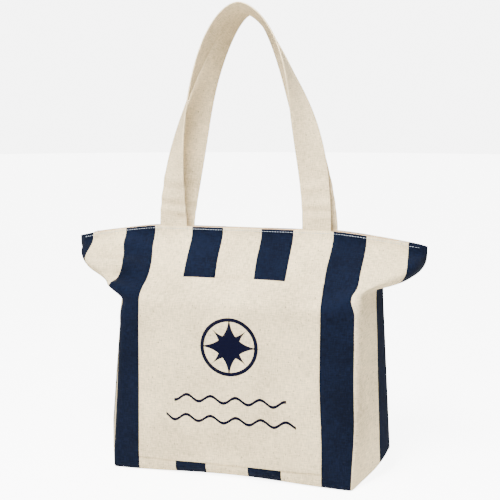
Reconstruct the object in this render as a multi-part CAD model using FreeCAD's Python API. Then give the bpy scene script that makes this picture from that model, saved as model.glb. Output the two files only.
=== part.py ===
"""Striped canvas tote bag: boxed body, slip pocket, two strap handles and a recessed zip.

The bag stands on its base with its front towards -Y. The origin is the middle of the base.
Every canvas piece is a thick sheet over one shape, the bag's own surface, which canvas_column
gives as a column of points from the middle of the base up to the hem at a distance across.
"""
import FreeCAD
import Part
import math
import os

V = FreeCAD.Vector

# Body, in millimetres
mouth_width = 508.0          # flat width, side seam to side seam
body_depth = 152.0           # front to back, at the base
hem_height = 340.0           # base to top edge
shoulder_drop = 58.0         # below the hem, where the front starts to lean in to the mouth
corner_drop = 72.0           # the same at the front corners
gusset_bulge = 33.0          # how far the side seam stands out past the front corners
base_radius = 20.0           # round of the lower front and back edges
corner_rise = 37.0           # height of the side seam's lower end
wing_root_drop = 70.0        # below the hem, where the side seam turns out into the wing
wing_root_inset = 8.0        # seam pulled in under the wing
wing_droop = 17.0            # top edge's drop at the wing's tip
wing_tip_edge = 17.0         # straight edge at the wing's tip, below the top edge
hem_band = 12.0              # upright band at the mouth
corner_rise_power = 1.6      # how late the gusset's foot climbs to the side seam
closing_power = 8            # how late the mouth closes towards the side seams
droop_power = 1.25           # how late the top edge droops towards the wings

# Cloth
canvas_thickness = 1.2
facing_thickness = 0.9
tape_thickness = 0.6
strap_thickness = 2.0
strap_end_thickness = 1.5
binding_thickness = 0.9
binding_width = 8.0
stitch_width = 0.5
stitch_height = 0.25
hem_stitch_inset = 3.0       # stitch row below the top edge
lay_gap = 0.02               # air between two cloths that lie on each other
base_binding_inset = 10.0    # the base seam's tape ends this far inside the front corners
corner_binding_inset = 2.2   # set in from the gusset, in canvas thicknesses
corner_binding_lean = 0.5    # its tape's reach inwards, as a share of the binding's width
corner_binding_climb = 0.8   # its tape's reach upwards, as a share of the same
corner_binding_turns = (0.25, 0.5, 0.75, 0.9)

# Stripes: the middle stripe is natural, and the pocket ends on an inner stripe edge
natural_stripe = 55.6
navy_stripe = 45.0

# Pocket
pocket_foot = 21.0           # height of its lower edge
pocket_below_shoulder = 3.0  # its open edge, below the middle of the shoulder
pocket_room = 5.6            # how far its middle stands off the bag
pocket_edge = 4.0            # flat edge that is sewn down
pocket_slope = 45.0          # height over which it leaves its sewn foot
pocket_level_share = 0.55    # share of its half width where it stands fully off the bag

# Handles
strap_width = 40.0
handle_spacing = 206.0       # between the middles of a handle's two legs
handle_rise = 300.0          # top of the loop above the hem
handle_outline = ((1.0, 0.0), (0.975, 0.24), (0.75, 0.585), (0.51, 0.81), (0.27, 0.945),
                  (0.0, 1.0))  # a leg's distance out and its climb, as shares of the loop's
handle_stations = 41         # cross-sections along a handle
twist_climb = 0.72           # share of the climb over which the strap makes its quarter turn
back_handle_shift = 6.0      # the back handle is sewn this much further to the right
hinge_rise = 3.0             # bend line above the hem
loop_gap = 2.0               # between the two straps at the top
strap_end_depth = 16.0       # how far a strap runs down inside the hem
fold_gap = 0.8

# Zip
facing_depth = 26.0          # how far the facing hangs inside the mouth
facing_step = 0.5            # its top edge below the hem
zip_recess = 22.0            # tooth line below the hem
tape_rise = 10.0             # how far the tape is sewn up the facing
zip_end_inset = 30.0         # the tapes and teeth end this far before the side seams
teeth_height = 2.4
teeth_row_width = 2.5
teeth_slot = 0.8             # between the rows, where the slider's post runs
channel_half_width = 4.4     # clear space between the two upright tapes
zip_clearance = 0.3
slider_length = 11.0
slider_wall = 1.1
slider_end_gap = 1.5         # between the closed slider and the top stops
post_start = 1.0             # the slider's post starts this far behind its middle
bridge_length = 7.0
bridge_width = 2.4
bridge_height = 2.4
pull_bar_radius = 0.5
pull_arm_width = 1.1
pull_arm_reach = 1.0         # how far the arms run past the bridge
pull_length = 26.0
pull_width = 6.4
pull_end_straight = 1.0      # straight part of the tab's rounded end
pull_eye_radius = 1.2
pull_eye_inset = 3.2         # from the tab's end to the middle of its eye
stop_length = 2.5
end_tab_length = 12.0
end_tab_inset = 0.4          # narrower than the rows of teeth, on each side

# Care label
label_width = 22.0
label_length = 34.0
label_drop = 80.0            # its lower edge, below the wing's root
label_inset = 1.6            # set in from the seam, in canvas thicknesses

# Values that follow from the ones above
half_mouth = mouth_width / 2
half_depth = body_depth / 2
gusset_slant = math.hypot(gusset_bulge, half_depth)
front_half = half_mouth - gusset_slant
seam_reach = front_half + gusset_bulge
pocket_half = natural_stripe * 1.5 + navy_stripe
tape_outer = channel_half_width + tape_thickness
facing_outer = tape_outer + facing_thickness
strap_end_outer = facing_outer + strap_end_thickness
hem_half = strap_end_outer + canvas_thickness
shoulder_height = hem_height - shoulder_drop
corner_height = hem_height - corner_drop
wing_root_height = hem_height - wing_root_drop
label_height = wing_root_height - label_drop
pocket_head = shoulder_height - pocket_below_shoulder
seam_lean = gusset_bulge / half_depth
zip_height = hem_height - zip_recess
zip_half_length = half_mouth - zip_end_inset
strap_middle = facing_outer + strap_end_thickness / 2
hinge_height = hem_height + hinge_rise

gusset_steps = (0.2, 0.4, 0.6, 0.8, 1.0)
arc_steps = 4
merge_digits = 5             # points that agree to this many decimals are one
on_plane = 1e-6              # a point nearer to y = 0 than this is on it
upright_share = 0.99         # an edge that rises by more of its length than this is upright


# ---------------------------------------------------------------- the bag's own surface

def turn_at(reach):
    """Share of the way round the gusset: 0 at the front corner and 1 at the side seam."""
    return max(0.0, (reach - front_half) / gusset_slant)


def closing_at(reach):
    """Share of the mouth's width that is left at a distance across: it closes at the seams."""
    return math.sqrt(max(0.0, 1 - turn_at(reach) ** closing_power))


def hem_top(reach):
    """Height of the top edge, which droops from the pocket's side out to the wing's tip."""
    share = max(0.0, (reach - pocket_half) / (half_mouth - pocket_half))
    return hem_height - wing_droop * share ** droop_power


def shoulder_at(reach):
    """Height where the canvas leaves the upright wall."""
    if reach <= front_half:
        share = max(0.0, (reach - pocket_half) / (front_half - pocket_half))
        return shoulder_height + (corner_height - shoulder_height) * share
    return corner_height + (wing_root_height - corner_height) * turn_at(reach)


def fold_point(reach):
    """Point where a column meets the leaning front: the shoulder itself, or the wing's fold."""
    turn = turn_at(reach)
    if turn == 0:
        return V(reach, -half_depth, shoulder_at(reach))
    tip_height = hem_height - wing_droop - wing_tip_edge
    height = corner_height + (tip_height - corner_height) * turn
    share = (height - corner_height) / (hem_height - hem_band - corner_height)
    lean = half_depth + (hem_half - half_depth) * share
    return V(reach, -lean * closing_at(reach), height)


def canvas_column(across):
    """Outer points of the front canvas at a distance across, from the base's middle to the hem.

    The base runs forward, turns up through a quarter round and climbs the wall. On the gusset
    the column then turns out through a quarter ellipse to the wing's fold line, and every
    column ends in the leaning front and the upright hem band.
    """
    side = math.copysign(1.0, across)
    reach = abs(across)
    turn = turn_at(reach)
    wall_x = min(reach, front_half) + gusset_bulge * turn
    wall_y = half_depth * (1 - turn)
    foot = corner_rise * turn ** corner_rise_power
    radius = base_radius * (1 - turn)
    hem_y = -hem_half * closing_at(reach)

    points = [V(wall_x, 0, foot)]
    for step in range(arc_steps + 1):
        angle = math.pi / 2 * step / arc_steps
        points.append(V(wall_x, -wall_y + radius * (1 - math.sin(angle)),
                        foot + radius * (1 - math.cos(angle))))

    root = V(wall_x - wing_root_inset * turn, -wall_y, shoulder_at(reach))
    fold = fold_point(reach)
    for step in range(arc_steps + 1):
        angle = math.pi / 2 * step / arc_steps
        swing = math.sin(angle)
        climb = 1 - math.cos(angle)
        points.append(V(root.x + (fold.x - root.x) * swing,
                        root.y + (fold.y - root.y) * swing,
                        root.z + (fold.z - root.z) * climb))
    points.append(V(reach, hem_y, hem_top(reach) - hem_band))
    points.append(V(reach, hem_y, hem_top(reach)))
    return [V(side * point.x, point.y, point.z) for point in points]


def places_across(widest=half_mouth):
    """Distances across, one for each column of the canvas, as far as the widest."""
    right = [pocket_half, front_half]
    right += [front_half + gusset_slant * step for step in gusset_steps]
    right = [place for place in right if place < widest] + [widest]
    return [-place for place in reversed(right)] + [0.0] + right


def wall_front(height):
    """How far in front of the middle the canvas stands at a height, at the bag's middle."""
    column = canvas_column(0.0)
    for low, high in zip(column, column[1:]):
        if low.z <= height <= high.z and high.z > low.z:
            share = (height - low.z) / (high.z - low.z)
            return -low.y + (low.y - high.y) * share
    return hem_half


# ---------------------------------------------------------------- sheets and simple solids

def triangles_of(grid):
    """Corner numbers of a grid's triangles, and its points with repeated ones merged."""
    points = []
    numbers = {}
    places = []
    for row in grid:
        line = []
        for point in row:
            key = tuple(round(value, merge_digits) for value in point)
            if key not in numbers:
                numbers[key] = len(points)
                points.append(point)
            line.append(numbers[key])
        places.append(line)
    triangles = []
    for low, high in zip(places, places[1:]):
        for left in range(len(low) - 1):
            corners = (low[left], low[left + 1], high[left + 1], high[left])
            for triangle in ((corners[0], corners[1], corners[2]),
                             (corners[0], corners[2], corners[3])):
                if len(set(triangle)) == 3:
                    triangles.append(triangle)
    return points, triangles


def point_normals(points, triangles):
    """Unit normal at each point: the mean of the normals of its triangles."""
    normals = [V(0, 0, 0) for _ in points]
    for first, second, third in triangles:
        across = (points[second] - points[first]).cross(points[third] - points[first])
        across.normalize()
        for corner in (first, second, third):
            normals[corner] = normals[corner] + across
    for normal in normals:
        normal.normalize()
    return normals


def thick_sheet(grid, thickness, meets_seam=False):
    """Closed solid of a sheet: the grid is its outer face, and its thickness goes inwards.

    A sheet that meets its mirror image at y = 0 has its seam points moved forward, so that
    their inner partners, not the outer ones, stand on that plane.
    """
    points, triangles = triangles_of(grid)
    normals = point_normals(points, triangles)
    if meets_seam:
        for number, point in enumerate(points):
            if abs(point.y) < on_plane:
                points[number] = V(point.x, thickness * min(0.0, normals[number].y), point.z)
    inner = [point - normal * thickness for point, normal in zip(points, normals)]
    if meets_seam:
        inner = [V(point.x, min(0.0, point.y), point.z) for point in inner]

    count = len(points)
    corners = points + inner
    sides = list(triangles)
    sides += [(third + count, second + count, first + count)
              for first, second, third in triangles]
    edges = {}
    for triangle in triangles:
        for start, end in zip(triangle, triangle[1:] + triangle[:1]):
            edges[(start, end)] = True
    for start, end in edges:
        if (end, start) not in edges:
            sides.append((end, start, start + count))
            sides.append((end, start + count, end + count))
    return solid_of(corners, sides)


def solid_of(corners, triangles):
    """Closed solid of flat triangles, with those in one plane joined."""
    faces = []
    for triangle in triangles:
        loop = [corners[number] for number in triangle]
        faces.append(Part.Face(Part.makePolygon(loop + loop[:1])))
    solid = Part.makeSolid(Part.makeShell(faces)).removeSplitter()
    if solid.Volume < 0:
        solid.reverse()
    return solid


def block(low, high):
    """Box from its lowest corner to its highest."""
    size = high - low
    return Part.makeBox(size.x, size.y, size.z, low)


def behind(shape):
    """The same shape on the back of the bag."""
    return shape.mirror(V(0, 0, 0), V(0, 1, 0))


def other_side(shape):
    """The same shape on the other side of the bag."""
    return shape.mirror(V(0, 0, 0), V(1, 0, 0))


def save(shape, node):
    """Write one node's STEP file, and say how large it is."""
    shape.exportStep("parts/" + node + ".step")
    print(node, "solids", len(shape.Solids), "valid", shape.isValid(),
          "volume", round(shape.Volume, 1))


# ---------------------------------------------------------------- the sewn pieces

def canvas_panel():
    """Front canvas: half the base, the front wall, and half of each gusset and wing."""
    columns = [canvas_column(place) for place in places_across()]
    rows = [list(row) for row in zip(*columns)]
    return thick_sheet(rows, canvas_thickness, meets_seam=True)


def facing():
    """Strip inside the mouth that covers the strap ends and carries the zip."""
    places = places_across(zip_half_length)
    foot = [V(place, -facing_outer, hem_height - facing_depth) for place in places]
    head = [V(place, -facing_outer, hem_top(abs(place)) - facing_step) for place in places]
    return thick_sheet([foot, head], facing_thickness)


def hem_stitching():
    """Row of stitches just under the top edge."""
    rows = []
    for below_edge in (hem_stitch_inset + stitch_width, hem_stitch_inset):
        row = []
        for place in places_across(front_half + gusset_slant * gusset_steps[-2]):
            reach = abs(place)
            proud = stitch_height + lay_gap
            row.append(V(place, -hem_half * closing_at(reach) - proud, hem_top(reach) - below_edge))
        rows.append(row)
    return thick_sheet(rows, stitch_height)


def pocket_stand_off(place, height):
    """How far the pocket's inner face stands off the bag: none at its sewn edges."""
    sewn_half = pocket_half - pocket_edge
    sewn_foot = pocket_foot + pocket_edge
    if abs(place) >= sewn_half or height <= sewn_foot:
        return lay_gap
    slope_width = sewn_half * (1 - pocket_level_share)
    side_share = min(1.0, (sewn_half - abs(place)) / slope_width)
    foot_share = min(1.0, (height - sewn_foot) / pocket_slope)
    return lay_gap + pocket_room * side_share * foot_share


def pocket():
    """Slip pocket: sewn down at its sides and foot, and open at its head."""
    sewn_half = pocket_half - pocket_edge
    side_places = [sewn_half * pocket_level_share, sewn_half, pocket_half]
    places = [-place for place in reversed(side_places)] + side_places
    sewn_foot = pocket_foot + pocket_edge
    rows = []
    heights = {pocket_foot, sewn_foot, sewn_foot + pocket_slope, pocket_head}
    heights |= {point.z for point in canvas_column(0.0) if pocket_foot < point.z < pocket_head}
    for height in sorted(heights):
        row = []
        for place in places:
            stand_off = pocket_stand_off(place, height) + canvas_thickness
            row.append(V(place, -wall_front(height) - stand_off, height))
        rows.append(row)
    return thick_sheet(rows, canvas_thickness)


def pocket_stitching():
    """Three rows of stitches: down both sides of the pocket and along its foot."""
    inset = pocket_edge / 2
    front = -half_depth - lay_gap * 2 - canvas_thickness
    side_low = V(pocket_half - inset - stitch_width, front - stitch_height,
                 pocket_foot + inset + stitch_width)
    side_high = V(pocket_half - inset, front, pocket_head - inset)
    right_row = block(side_low, side_high)
    foot_row = block(V(-pocket_half + inset, front - stitch_height, pocket_foot + inset),
                     V(pocket_half - inset, front, pocket_foot + inset + stitch_width))
    return Part.makeCompound([right_row, other_side(right_row), foot_row])


def seam_line(height):
    """Distance across of the right side seam at a height, on the upright gusset."""
    share = (height - corner_rise) / (wing_root_height - corner_rise)
    return seam_reach - wing_root_inset * share


def seam_binding():
    """Tape over the right side seam's raw edges, inside the bag, from the corner to the wing."""
    slant = math.hypot(1.0, seam_lean)
    set_in = canvas_thickness * slant + binding_thickness * seam_lean + lay_gap
    low = corner_rise + binding_width
    high = wing_root_height - binding_width
    corners = []
    for height, inward in ((low, 0.0), (high, 0.0), (high, binding_width), (low, binding_width)):
        corners.append(V(seam_line(height) - set_in - inward, -binding_thickness, height))
    side = Part.Face(Part.makePolygon(corners + corners[:1]))
    return side.extrude(V(0, binding_thickness * 2, 0))


def base_binding():
    """Tape over the base seam's raw edges, which stand up inside the bag."""
    reach = front_half - base_binding_inset
    return block(V(-reach, -binding_thickness, canvas_thickness + lay_gap),
                 V(reach, binding_thickness, canvas_thickness + binding_width))


def corner_binding():
    """Tape over the right boxed corner's raw edges, along the gusset's lower edge."""
    inset = canvas_thickness * corner_binding_inset
    lower = []
    upper = []
    for turn in corner_binding_turns:
        wall_x = front_half + gusset_bulge * turn - inset
        wall_y = half_depth * (1 - turn)
        foot = corner_rise * turn ** corner_rise_power + base_radius * (1 - turn)
        foot += canvas_thickness
        lower.append(V(wall_x, -wall_y, foot))
        upper.append(V(wall_x - binding_width * corner_binding_lean, -wall_y,
                       foot + binding_width * corner_binding_climb))
    back_lower = [V(point.x, -point.y, point.z) for point in reversed(lower)]
    back_upper = [V(point.x, -point.y, point.z) for point in reversed(upper)]
    return thick_sheet([lower + back_lower, upper + back_upper], binding_thickness)


def care_label():
    """Blank label, caught in the left seam binding and hanging free inside."""
    seam = -seam_line(label_height + label_length)
    edge = seam + canvas_thickness * label_inset + binding_width
    return block(V(edge, -tape_thickness / 2, label_height),
                 V(edge + label_width, tape_thickness / 2, label_height + label_length))


# ---------------------------------------------------------------- the handles

def handle_line():
    """Middle line of the front strap: two legs that lean in to a round top."""
    half = handle_spacing / 2
    rise = handle_rise - hinge_rise - strap_thickness / 2
    right = [V(half * share, 0, hinge_height + rise * climb) for share, climb in handle_outline]
    left = [V(-point.x, 0, point.z) for point in reversed(right[:-1])]
    curve = Part.BSplineCurve()
    curve.interpolate(Points=right + left)
    return curve


def handle_twist(climb):
    """Quarter turn of the strap, from flat to the bag at the hem to edge-on at the top."""
    share = min(1.0, climb / twist_climb)
    return math.pi / 2 * share * share * (3 - 2 * share)


def handle():
    """Front strap above its bend line, as a strip that turns a quarter turn up each leg."""
    curve = handle_line()
    stations = curve.discretize(Number=handle_stations)
    rise = stations[len(stations) // 2].z - hinge_height
    top_middle = strap_width / 2 + loop_gap / 2
    grid = []
    for number, station in enumerate(stations):
        climb = (station.z - hinge_height) / rise
        twist = handle_twist(climb)
        ahead = stations[min(number + 1, len(stations) - 1)]
        before = stations[max(number - 1, 0)]
        along = (ahead - before).normalize()
        out = V(along.z, 0, -along.x)
        wide = out * math.cos(twist) + V(0, 1, 0) * math.sin(twist)
        middle_y = -strap_middle - (top_middle - strap_middle) * math.sin(twist)
        middle = V(station.x, middle_y, station.z)
        face = along.cross(wide) * (strap_thickness / 2)
        half_wide = wide * (strap_width / 2)
        grid.append([middle - half_wide + face, middle + half_wide + face,
                     middle + half_wide - face, middle - half_wide - face])
    return tube_of(grid)


def tube_of(rings):
    """Closed solid through rings of four corners, with a flat cap at each end."""
    corners = [corner for ring in rings for corner in ring]
    size = len(rings[0])
    triangles = []
    for start in range(0, len(corners) - size, size):
        for side in range(size):
            first = start + side
            second = start + (side + 1) % size
            triangles.append((first, second, second + size))
            triangles.append((first, second + size, first + size))
    last = len(corners) - size
    triangles += [(2, 1, 0), (3, 2, 0), (last, last + 1, last + 2), (last, last + 2, last + 3)]
    return solid_of(corners, triangles)


def strap_ends():
    """The two ends of the front strap, between the canvas and the facing."""
    half = handle_spacing / 2
    low_y = -strap_end_outer + lay_gap
    high_y = -facing_outer - lay_gap
    top = hinge_height - strap_thickness / 2 - fold_gap
    right_end = block(V(half - strap_width / 2, low_y, hem_height - strap_end_depth),
                      V(half + strap_width / 2, high_y, top))
    return Part.makeCompound([right_end, other_side(right_end)])


# ---------------------------------------------------------------- the zip

def zip_tape():
    """Front tape: upright from the hem stitches, then in to the teeth."""
    reach = zip_half_length
    upright = block(V(-reach, -tape_outer + lay_gap, zip_height - tape_thickness / 2),
                    V(reach, -channel_half_width, zip_height + tape_rise))
    level = block(V(-reach, -channel_half_width, zip_height - tape_thickness / 2),
                  V(reach, -teeth_slot / 2 - teeth_row_width, zip_height + tape_thickness / 2))
    return upright.fuse(level).removeSplitter()


def zip_teeth():
    """Front row of teeth, closed along its whole length."""
    inner = teeth_slot / 2
    end = slider_rest_x() + slider_length / 2 + slider_end_gap
    return block(V(-zip_half_length, -inner - teeth_row_width, zip_height - teeth_height / 2),
                 V(end, -inner, zip_height + teeth_height / 2))


def slider_rest_x():
    """Middle of the slider when the zip is closed."""
    return zip_half_length - stop_length - slider_end_gap - slider_length / 2


def slider():
    """Slider: two lipped plates joined by the post that parts the teeth, and a bridge on top."""
    middle = slider_rest_x()
    half_width = channel_half_width - zip_clearance
    half_length = slider_length / 2
    inner_half = teeth_slot / 2 + teeth_row_width + zip_clearance
    ceiling = teeth_height / 2 + zip_clearance
    lip = tape_thickness / 2 + zip_clearance
    outer = block(V(middle - half_length, -half_width, zip_height - ceiling - slider_wall),
                  V(middle + half_length, half_width, zip_height + ceiling + slider_wall))
    teeth_way = block(V(middle - half_length, -inner_half, zip_height - ceiling),
                      V(middle + half_length, inner_half, zip_height + ceiling))
    tape_way = block(V(middle - half_length, -half_width, zip_height - lip),
                     V(middle + half_length, half_width, zip_height + lip))
    post_half = teeth_slot / 4
    post = block(V(middle - post_start, -post_half, zip_height - ceiling),
                 V(middle + half_length - post_start, post_half, zip_height + ceiling))
    body = outer.cut(teeth_way).cut(tape_way).fuse(post)

    deck = zip_height + ceiling + slider_wall
    bridge = block(V(middle - bridge_length / 2, -bridge_width / 2, deck),
                   V(middle + bridge_length / 2, bridge_width / 2, deck + bridge_height))
    hole_half = pull_bar_radius + zip_clearance
    hole = block(V(middle - hole_half, -bridge_width / 2, pull_axis_height() - hole_half),
                 V(middle + hole_half, bridge_width / 2, pull_axis_height() + hole_half))
    return body.fuse(bridge.cut(hole)).removeSplitter()


def pull_axis_height():
    """Height of the bar that the pull turns on."""
    deck = zip_height + teeth_height / 2 + zip_clearance + slider_wall
    return deck + pull_bar_radius + zip_clearance


def pull():
    """Pull: a bar through the bridge, two arms and a tab, lying back along the closed zip."""
    middle = slider_rest_x()
    height = pull_axis_height()
    arm_inner = bridge_width / 2 + zip_clearance
    arm_outer = arm_inner + pull_arm_width
    half_thick = pull_bar_radius
    bar = Part.makeCylinder(pull_bar_radius, arm_outer * 2, V(middle, -arm_outer, height),
                            V(0, 1, 0))
    arm_length = bridge_length / 2 + pull_arm_reach
    arm = block(V(middle - arm_length, arm_inner, height - half_thick),
                V(middle, arm_outer, height + half_thick))
    knuckle = Part.makeCylinder(half_thick, pull_arm_width, V(middle, arm_inner, height),
                                V(0, 1, 0))
    arm = arm.fuse(knuckle)
    tab = block(V(middle - pull_length, -pull_width / 2, height - half_thick),
                V(middle - arm_length, pull_width / 2, height + half_thick))
    corners = [edge for edge in tab.Edges
               if abs(edge.tangentAt(edge.FirstParameter).z) > upright_share
               and edge.CenterOfMass.x < middle - pull_length / 2]
    tab = tab.makeFillet((pull_width - pull_end_straight) / 2, corners)
    eye_middle = V(middle - pull_length + pull_eye_inset, 0, height - half_thick)
    eye = Part.makeCylinder(pull_eye_radius, half_thick * 2, eye_middle)
    return bar.fuse([arm, behind(arm), tab]).cut(eye).removeSplitter()


def top_stops():
    """Two small clips that end the teeth at the closed end."""
    start = slider_rest_x() + slider_length / 2 + slider_end_gap
    inner = teeth_slot / 2
    stop = block(V(start, -inner - teeth_row_width, zip_height - teeth_height / 2),
                 V(start + stop_length, -inner, zip_height + teeth_height / 2))
    return Part.makeCompound([stop, behind(stop)])


def bottom_stop():
    """One clip over both rows at the open end."""
    reach = teeth_slot / 2 + teeth_row_width
    return block(V(-zip_half_length - stop_length, -reach, zip_height - teeth_height / 2),
                 V(-zip_half_length, reach, zip_height + teeth_height / 2))


def end_tab():
    """Folded canvas tab past the zip's closed end."""
    reach = teeth_slot / 2 + teeth_row_width - end_tab_inset
    start = zip_half_length + lay_gap
    return block(V(start, -reach, zip_height - teeth_height / 2),
                 V(start + end_tab_length, reach, zip_height + teeth_height / 2))


def save_pair(front_shape, name, back_shift=0.0):
    """Save a piece of the front, and its partner behind."""
    save(front_shape, "front_" + name)
    back_shape = behind(front_shape)
    back_shape.translate(V(back_shift, 0, 0))
    save(back_shape, "back_" + name)


def save_sides(right_shape, name):
    """Save a piece of the right side, and its partner on the left."""
    save(right_shape, "right_" + name)
    save(other_side(right_shape), "left_" + name)


def main():
    """Make every piece and write its file."""
    os.makedirs("parts", exist_ok=True)
    save_pair(canvas_panel(), "canvas")
    save_pair(facing(), "facing")
    save_pair(hem_stitching(), "hem_stitching")
    save_pair(handle(), "handle", back_handle_shift)
    save_pair(strap_ends(), "strap_ends", back_handle_shift)
    save_pair(zip_tape(), "zip_tape")
    save_pair(zip_teeth(), "zip_teeth")
    save_sides(seam_binding(), "seam_binding")
    save_sides(corner_binding(), "corner_binding")
    save(base_binding(), "base_seam_binding")
    save(pocket(), "front_pocket")
    save(pocket_stitching(), "pocket_stitching")
    save(care_label(), "care_label")
    save(slider(), "zip_slider")
    save(pull(), "zip_pull")
    save(top_stops(), "zip_top_stops")
    save(bottom_stop(), "zip_bottom_stop")
    right_tab = end_tab()
    save(right_tab, "right_zip_tab")
    left_tab = other_side(right_tab)
    left_tab.translate(V(-stop_length, 0, 0))
    save(left_tab, "left_zip_tab")


main()
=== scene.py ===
"""Striped canvas tote bag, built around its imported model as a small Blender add-on.

Each sewn piece is a sheet worked out as a function of two parameters: the distance across the
cloth, from side seam to side seam, and the distance along it, from the hem down to the base.
"""
import math

import bpy
import numpy as np
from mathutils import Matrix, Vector


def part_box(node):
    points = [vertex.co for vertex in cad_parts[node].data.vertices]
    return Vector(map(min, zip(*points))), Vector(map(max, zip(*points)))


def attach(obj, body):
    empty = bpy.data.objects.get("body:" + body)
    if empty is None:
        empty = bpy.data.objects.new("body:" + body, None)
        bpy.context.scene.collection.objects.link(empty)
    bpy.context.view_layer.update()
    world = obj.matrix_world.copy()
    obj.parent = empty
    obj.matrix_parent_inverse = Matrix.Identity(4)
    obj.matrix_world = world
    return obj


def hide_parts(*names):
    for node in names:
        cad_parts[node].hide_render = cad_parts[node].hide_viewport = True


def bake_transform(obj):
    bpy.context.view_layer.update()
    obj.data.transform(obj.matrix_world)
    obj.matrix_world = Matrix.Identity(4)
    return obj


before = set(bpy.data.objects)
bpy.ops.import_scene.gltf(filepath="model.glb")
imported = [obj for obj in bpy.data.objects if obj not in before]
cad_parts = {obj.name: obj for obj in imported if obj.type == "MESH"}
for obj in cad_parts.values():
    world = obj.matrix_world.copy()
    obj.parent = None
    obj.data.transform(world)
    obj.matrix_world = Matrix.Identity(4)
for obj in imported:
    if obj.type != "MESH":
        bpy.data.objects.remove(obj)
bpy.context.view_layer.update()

bl_info = {
    "name": "Canvas Tote Bag",
    "version": (1, 0, 0),
    "blender": (4, 5, 0),
    "location": "3D View > Sidebar > Tote Bag",
    "description": "Makes a striped canvas tote bag with a pocket, two handles and a zip",
    "category": "Object",
}

# The bag's own surface. All lengths are in metres.
HALF_MOUTH = 0.254
HALF_DEPTH = 0.076
HEM_HEIGHT = 0.340
SHOULDER_HEIGHT = 0.246
CORNER_HEIGHT = 0.268
WING_ROOT_HEIGHT = 0.270
WING_ROOT_INSET = 0.008
WING_DROOP = 0.017
WING_TIP_EDGE = 0.014
GUSSET_BULGE = 0.033
CORNER_RISE = 0.037
HEM_HALF = 0.0086
HEM_BAND = 0.012
GUSSET_SLANT = math.hypot(GUSSET_BULGE, HALF_DEPTH)
FRONT_HALF = HALF_MOUTH - GUSSET_SLANT
POCKET_HALF = 0.1284          # the top edge droops from here out to the wings
DROOP_POWER = 1.25            # how late it droops
CORNER_RISE_POWER = 1.6       # how late the gusset's foot climbs to the side seam
CLOSING_POWER = 8             # how late the mouth closes towards the side seams
LEFT_DROOP = 0.002            # the left wing's tip droops this much more
CANVAS_ROWS = 175
CANVAS_COLUMNS = 205
ARC_STEPS = 9                 # points in each quarter round of a canvas column
BASE_RADIUS = 0.020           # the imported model's round at the base
TINY = 1e-12                  # keeps a division by a length of nothing safe

# Handles
HINGE_HEIGHT = 0.343          # bend line above the hem
STRAP_MIDDLE = 0.00665        # how far a strap stands from the bag's middle at the bend
HALF_SPACING = 0.103          # half the distance between a handle's two legs
HANDLE_RISE = 0.2965          # bend line to the top of the loop
STRAP_TOP_Y = 0.0212          # and at the top of the loop
TOP_SHIFT = 0.0015            # both loops' tops lie this far to the right
STRAP_STITCH_INSET = 0.0035   # a row of stitches from the strap's edge
STRAP_THREAD = 0.6            # its thread's thickness, as a share of the hem's
SEWN_DEPTH = 0.0155           # how far a strap runs down inside the hem
SEWN_HALF_THICK = 0.0007      # half its thickness there, between canvas and facing
UNDERSIDE_START = 0.05        # its underside shows the weave from this far over
CREASE_DEPTH = 0.0009
# Each group of creases in a strap: the length and start of its waves, its height and reach
STRAP_CREASES = ((0.0030, 0.0, 0.368, 0.014), (0.0047, 1.0, 0.398, 0.015))

# Each handle: its name, its side of the bag, its turn at the top in degrees, its shift to the
# right, the fullness and bluntness of its arch, and how far its left leg bows to the right
HANDLES = (("front", -1.0, 106.0, 0.0015, 1.80, 0.57, 0.0020),
           ("back", 1.0, 84.0, 0.0090, 1.30, 0.62, -0.0032))

SIDES = (("front", -1.0), ("back", 1.0))
ENDS = (("right", 1.0), ("left", -1.0))
LENGTHWAYS = np.array([1.0, 0.0, 0.0])
SIDEWAYS = np.array([0.0, 1.0, 0.0])
UPWARDS = np.array([0.0, 0.0, 1.0])
WHITE = (1.0, 1.0, 1.0, 1.0)

# Pocket, as distances along the cloth from the hem
POCKET_HEAD = 0.0800
POCKET_FOOT = 0.3425
POCKET_LAYER = 0.75           # its canvas, as a share of the bag's
POCKET_TURNING = 0.0005       # its folded head stands this much prouder
TURNING_DEPTH = 0.024         # how far down that fold is sewn
POCKET_CLEARANCE = 0.00005    # between its canvas and the bag's
POCKET_STITCH_INSET = 0.0022
POCKET_STITCH = 0.9           # its stitches' length, as a share of the hem's
POCKET_THREAD = 0.8           # and their thickness
ROW_POINTS = 300              # points along each of its rows of stitches

# Print on the pocket, placed from the pocket's middle and from the hem
PRINT_ACROSS = 0.0055
PRINT_ALONG = 0.1745
PRINT_RING = 0.80             # its ring and its turned star, as a share of its half width
WAVE_ROWS = ((0.074, 0.078), (0.102, 0.090))   # each wavy line's drop and half length
WAVE_HEIGHT = 0.0042
WAVE_LENGTH = 0.034
WAVE_HALF_THICK = 0.0021

# Looks of the cloth
FLECK_THRESHOLD = 0.77        # noise above this is a fleck
FLECK_SHADE = (0.16, 0.12, 0.08, 1.0)
CANVAS_BUMP = 0.00022         # depth of its weave
CLOTH_SHADER = {"Specular IOR Level": 0.05, "Sheen Weight": 0.02, "Sheen Roughness": 0.5}

# Mouth and zip
FACING_Y = 0.0059
FACING_DEPTH = 0.026
FACING_BELOW_HEM = 0.0006
FACING_WAVE = 0.0006
FACING_WAVE_LENGTH = 0.027
FACING_NEAREST = 0.0057
FACING_FARTHEST = 0.0062
TAPE_OUTER = 0.0050           # an upright tape's face, from the bag's middle
TAPE_INNER = 0.0030           # its turned-in edge
TAPE_CLEARANCE = 0.00002      # between its upright face and the facing
TAPE_BEND = 0.0016
TAPE_ROWS = 16
TAPE_DEVELOPED = 0.0125       # its width when it is flat
COIL_PITCH = 0.0016
COIL_WIRE = 0.00036           # half its thickness
COIL_STEPS = 10               # points in one turn
HEM_ROW_REACH = 0.244
HEM_ROW_INSET = 0.0032

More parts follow.
